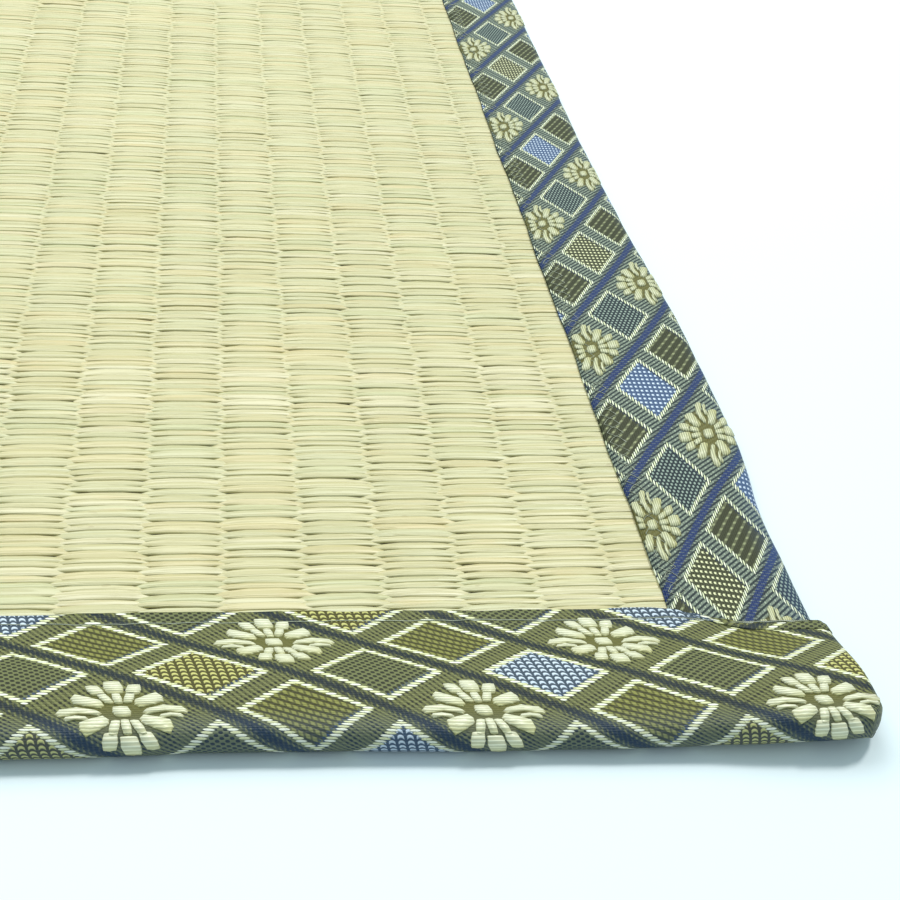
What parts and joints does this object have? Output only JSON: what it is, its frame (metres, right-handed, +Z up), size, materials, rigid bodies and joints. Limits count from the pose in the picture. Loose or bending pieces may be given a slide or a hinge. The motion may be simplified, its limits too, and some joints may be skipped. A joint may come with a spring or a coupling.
{
  "type": "rush grass carpet",
  "caption": "Flat oblong carpet woven from rushes in narrow ribs, its edges bound with a folded diamond-patterned ribbon.",
  "frame": {"origin": "on the floor under the middle of the carpet", "axes": "+X across the carpet, along the rushes; +Y along the carpet, along the ribs; +Z up out of the upper face"},
  "size_m": [0.8782, 1.742, 0.0075],
  "materials": {
    "rush_weave": "dried rush, satin",
    "side_ribbon": "woven brocade, soft sheen",
    "end_ribbon": "woven brocade, soft sheen"
  },
  "bodies": {
    "root": {"rush_mat": "rush_weave", "side_binding_right": "side_ribbon", "side_binding_left": "side_ribbon", "end_binding_front": "end_ribbon", "end_binding_back": "end_ribbon"}
  },
  "joints": []
}
